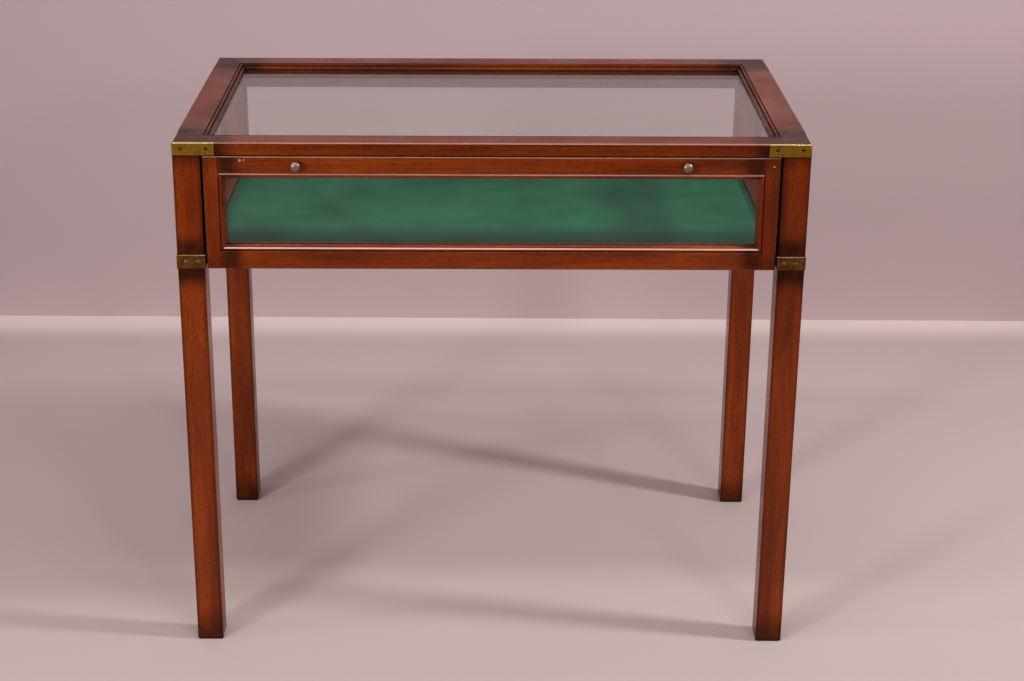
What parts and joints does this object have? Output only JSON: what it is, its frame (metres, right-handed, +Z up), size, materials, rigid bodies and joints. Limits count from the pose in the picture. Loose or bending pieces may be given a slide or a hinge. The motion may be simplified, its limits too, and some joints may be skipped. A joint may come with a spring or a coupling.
{
  "type": "display case",
  "caption": "Free-standing glazed display table with square legs, glass on top, sides and back, a glazed drop front and brass corner fittings.",
  "frame": {"origin": "on the floor, at the middle of the object's bounding box, knobs included", "axes": "+X to the viewer's right along the length, +Y from the drop front to the back, +Z up"},
  "size_m": [0.7976, 0.4852, 0.7],
  "materials": {
    "mahogany": "red-brown polished mahogany, satin gloss",
    "ply": "unpolished board",
    "glass": "clear float glass",
    "baize": "green wool baize",
    "brass": "yellow brass, lightly tarnished",
    "aged_brass": "dull aged brass",
    "bronze": "dark bronzed brass, polished by use",
    "steel": "bright steel"
  },
  "bodies": {
    "case": {"back_glass": "glass", "back_glazing_bead": "mahogany", "back_lower_rail": "mahogany", "back_upper_rail": "mahogany", "baize_lining": "baize", "catch_strike_left": "brass", "catch_strike_right": "brass", "corner_bracket_back_left": "brass", "corner_bracket_back_right": "brass", "corner_bracket_front_left": "brass", "corner_bracket_front_right": "brass", "floor_panel": "ply", "front_base_rail": "mahogany", "hinge_fixed_leaf_left": "brass", "hinge_fixed_leaf_right": "brass", "hinge_pin_left": "steel", "hinge_pin_right": "steel", "leg_back_left": "mahogany", "leg_back_right": "mahogany", "leg_front_left": "mahogany", "leg_front_right": "mahogany", "leg_strap_back_left": "aged_brass", "leg_strap_back_right": "aged_brass", "leg_strap_front_left": "aged_brass", "leg_strap_front_right": "aged_brass", "side_glass_left": "glass", "side_glass_right": "glass", "side_lower_rail_left": "mahogany", "side_lower_rail_right": "mahogany", "side_upper_rail_left": "mahogany", "side_upper_rail_right": "mahogany", "top_glass": "glass", "top_glazing_bead": "mahogany", "top_rail_back": "mahogany", "top_rail_front": "mahogany", "top_rail_left": "mahogany", "top_rail_right": "mahogany"},
    "drop_front": {"catch_barrel_left": "brass", "catch_barrel_right": "brass", "catch_spring_left": "steel", "catch_spring_right": "steel", "door_glass": "glass", "door_glazing_bead": "mahogany", "door_rail_bottom": "mahogany", "door_rail_top": "mahogany", "door_stile_left": "mahogany", "door_stile_right": "mahogany", "hinge_moving_leaf_left": "brass", "hinge_moving_leaf_right": "brass", "knob_left": "bronze", "knob_right": "bronze", "knob_screw_left": "steel", "knob_screw_right": "steel"},
    "catch_ball_left": {"catch_ball_left": "steel"},
    "catch_ball_right": {"catch_ball_right": "steel"}
  },
  "joints": [
    {"name": "drop_front_hinge", "type": "hinge", "parent": "case", "child": "drop_front", "pos_m": [0, -0.21025, 0.5317], "axis": [1, 0, 0], "range_deg": [0, 180]},
    {"name": "catch_ball_left_slide", "type": "slide", "parent": "drop_front", "child": "catch_ball_left", "axis": [0, 0, -1], "range_m": [-0.0004, 0.0015], "stiffness_N_per_m": 30, "springref_m": -0.001, "deforming": ["catch_spring_left"]},
    {"name": "catch_ball_right_slide", "type": "slide", "parent": "drop_front", "child": "catch_ball_right", "axis": [0, 0, -1], "range_m": [-0.0004, 0.0015], "stiffness_N_per_m": 30, "springref_m": -0.001, "deforming": ["catch_spring_right"]}
  ]
}
